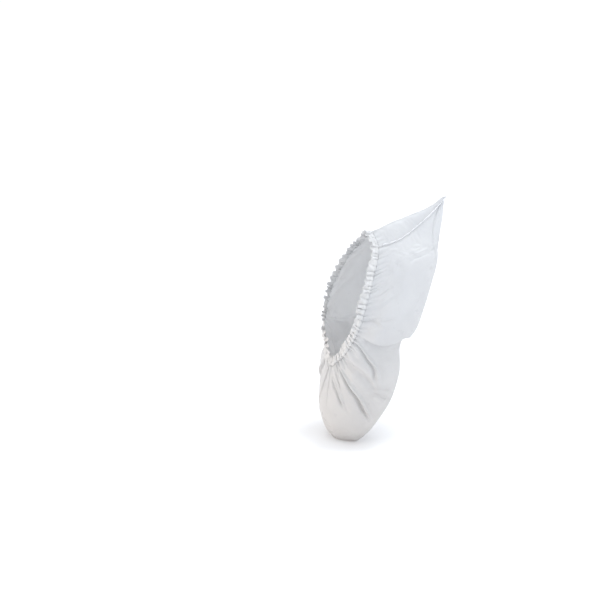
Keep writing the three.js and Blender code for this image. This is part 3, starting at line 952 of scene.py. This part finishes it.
def blended(tree, share, first, second, blend="MIX"):
    """A colour mixed from a socket's colour and a plain one."""
    made = node(tree, "ShaderNodeMix", data_type="RGBA", blend_type=blend)
    tree.links.new(share, made.inputs[MIX_SHARE])
    tree.links.new(first, made.inputs[MIX_FIRST])
    made.inputs[MIX_SECOND].default_value = second
    return made.outputs[MIX_RESULT]


def film_colour(tree, place, colours):
    """A faint mottle between two whites, with painted warmth and shade over the toes, and lighter
    on the inner face for the light that comes through the film.
    """
    mottle = noise(tree, place, **MOTTLE)
    tint = node(tree, "ShaderNodeValToRGB")
    for element, position, colour in zip(tint.color_ramp.elements, MOTTLE_RANGE, colours):
        element.position = position
        element.color = (*colour, 1)
    tree.links.new(mottle, tint.inputs["Fac"])
    # Painted see-through warmth and shade of the shoe inside, growing towards the floor over the
    # toes.
    height = node(tree, "ShaderNodeSeparateXYZ")
    tree.links.new(place, height.inputs["Vector"])
    toes = node(tree, "ShaderNodeMapRange", From_Min=TOE_PAINTED_SHOE_TINT_TOP, From_Max=FLOOR)
    tree.links.new(height.outputs["Z"], toes.inputs["Value"])
    painted_toe_colour = blended(tree, toes.outputs["Result"], tint.outputs["Color"], TOE_PAINTED_SHOE_TINT, "MULTIPLY")
    backing = node(tree, "ShaderNodeAttribute", attribute_name=INSIDE)
    return blended(tree, backing.outputs["Fac"], painted_toe_colour, INSIDE_COLOUR)


def film_roughness(tree, place, smoothest, roughest):
    """Roughness that varies a little over the film."""
    rough = node(tree, "ShaderNodeMapRange", To_Min=smoothest, To_Max=roughest)
    tree.links.new(noise(tree, place, **GLOSS), rough.inputs["Value"])
    return rough.outputs["Result"]


def film_relief(tree, place, emboss, crinkle):
    """The normal of fine embossed cells on coarser crinkles."""
    cells = node(tree, "ShaderNodeTexVoronoi", Scale=EMBOSS_SCALE)
    tree.links.new(place, cells.inputs["Vector"])
    fine = node(tree, "ShaderNodeBump", Strength=emboss, Distance=EMBOSS_HEIGHT)
    tree.links.new(cells.outputs["Distance"], fine.inputs["Height"])
    coarse = node(tree, "ShaderNodeBump", Strength=crinkle, Distance=CRINKLE_HEIGHT)
    tree.links.new(noise(tree, place, **CRINKLE), coarse.inputs["Height"])
    tree.links.new(fine.outputs["Normal"], coarse.inputs["Normal"])
    return coarse.outputs["Normal"]


def film_material(name):
    """White film that lets some light through."""
    look = dict(zip(LOOK_COLUMNS, LOOKS[name]))
    material = bpy.data.materials.new(name)
    material.use_nodes = True
    tree = material.node_tree
    tree.nodes.clear()
    link = tree.links.new
    place = node(tree, "ShaderNodeTexCoord").outputs["Object"]
    colour = film_colour(tree, place, (look["dark"], look["light"]))
    normal = film_relief(tree, place, look["emboss"], look["crinkle"])

    skin = node(tree, "ShaderNodeBsdfPrincipled", **FILM_SKIN)
    link(colour, skin.inputs["Base Color"])
    link(film_roughness(tree, place, *look["roughness"]), skin.inputs["Roughness"])
    link(normal, skin.inputs["Normal"])
    glow = node(tree, "ShaderNodeBsdfTranslucent")
    link(colour, glow.inputs["Color"])
    link(normal, glow.inputs["Normal"])
    mix = node(tree, "ShaderNodeMixShader", Fac=look["see_through"])
    link(skin.outputs["BSDF"], mix.inputs[1])
    link(glow.outputs["BSDF"], mix.inputs[2])
    out = node(tree, "ShaderNodeOutputMaterial")
    link(mix.outputs["Shader"], out.inputs["Surface"])
    return material


def floor_material():
    """A plain matt floor."""
    material = bpy.data.materials.new("floor")
    material.use_nodes = True
    shader = material.node_tree.nodes["Principled BSDF"]
    for name, value in FLOOR_SKIN.items():
        shader.inputs[name.replace("_", " ")].default_value = value
    return material


def make_floor():
    """A plain pale floor under the toe."""
    near, far = -FLOOR_HALF, FLOOR_HALF
    corners = [(near, near, FLOOR), (far, near, FLOOR), (far, far, FLOOR), (near, far, FLOOR)]
    mesh = bpy.data.meshes.new("floor")
    mesh.from_pydata(corners, [], [(0, 1, 2, 3)])
    mesh.materials.append(floor_material())
    floor = bpy.data.objects.new("floor", mesh)
    bpy.context.scene.collection.objects.link(floor)


def make_camera():
    """A camera at the photo's angle and framing."""
    right = Vector((math.cos(VIEW_AZIMUTH), math.sin(VIEW_AZIMUTH), 0))
    level = Vector((math.sin(VIEW_AZIMUTH), -math.cos(VIEW_AZIMUTH), 0))
    back = level * math.cos(VIEW_ELEVATION) + Vector((0, 0, math.sin(VIEW_ELEVATION)))
    target = right * VIEW_RIGHT + back.cross(right) * VIEW_UP
    data = bpy.data.cameras.new("camera")
    data.lens = data.sensor_width * VIEW_DISTANCE / VIEW_WIDTH
    camera = bpy.data.objects.new("camera", data)
    camera.location = target + back * VIEW_DISTANCE
    camera.rotation_euler = (-back).to_track_quat("-Z", "Y").to_euler()
    bpy.context.scene.collection.objects.link(camera)
    bpy.context.scene.camera = camera


def stand_light(data, place, target, power, colour):
    """A light that stands at a place and faces a target."""
    data.energy = power
    data.color = colour
    light = bpy.data.objects.new(data.name, data)
    light.location = place
    facing = Vector(target) - Vector(place)
    light.rotation_euler = facing.to_track_quat("-Z", "Y").to_euler()
    bpy.context.scene.collection.objects.link(light)


def make_lights():
    """Soft round lamps and the heel's spot."""
    for row in LAMPS:
        lamp = dict(zip(LAMP_COLUMNS, row))
        data = bpy.data.lights.new(lamp["name"], "AREA")
        data.shape = "DISK"
        data.size = lamp["size"]
        stand_light(data, lamp["place"], COVER_MIDDLE, lamp["power"], lamp["colour"])
    spot = HEEL_SPOT
    data = bpy.data.lights.new("heel", "SPOT")
    data.shadow_soft_size = spot["radius"]
    data.spot_size = spot["spread"]
    data.spot_blend = 1
    stand_light(data, spot["place"], spot["target"], spot["power"], spot["colour"])


def make_sky():
    """An even bright sky, which is the background too."""
    world = bpy.data.worlds.new("studio")
    world.use_nodes = True
    sky = world.node_tree.nodes["Background"]
    sky.inputs["Color"].default_value = SKY_COLOUR
    sky.inputs["Strength"].default_value = SKY_STRENGTH
    bpy.context.scene.world = world
    bpy.context.scene.view_settings.view_transform = "Standard"


make_camera()
make_floor()
make_lights()
make_sky()

film = make_film(film_material("film"))
hem = make_hem(film_material("hem_film"))
seam = make_seam(film_material("seam_film"))
for piece, cad_node, slot in (
    (film, "film_bag", "film"),
    (hem, "elastic_hem", "hem_film"),
    (seam, "heel_seam", "seam_film"),
):
    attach(piece, "root")
    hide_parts(cad_node)
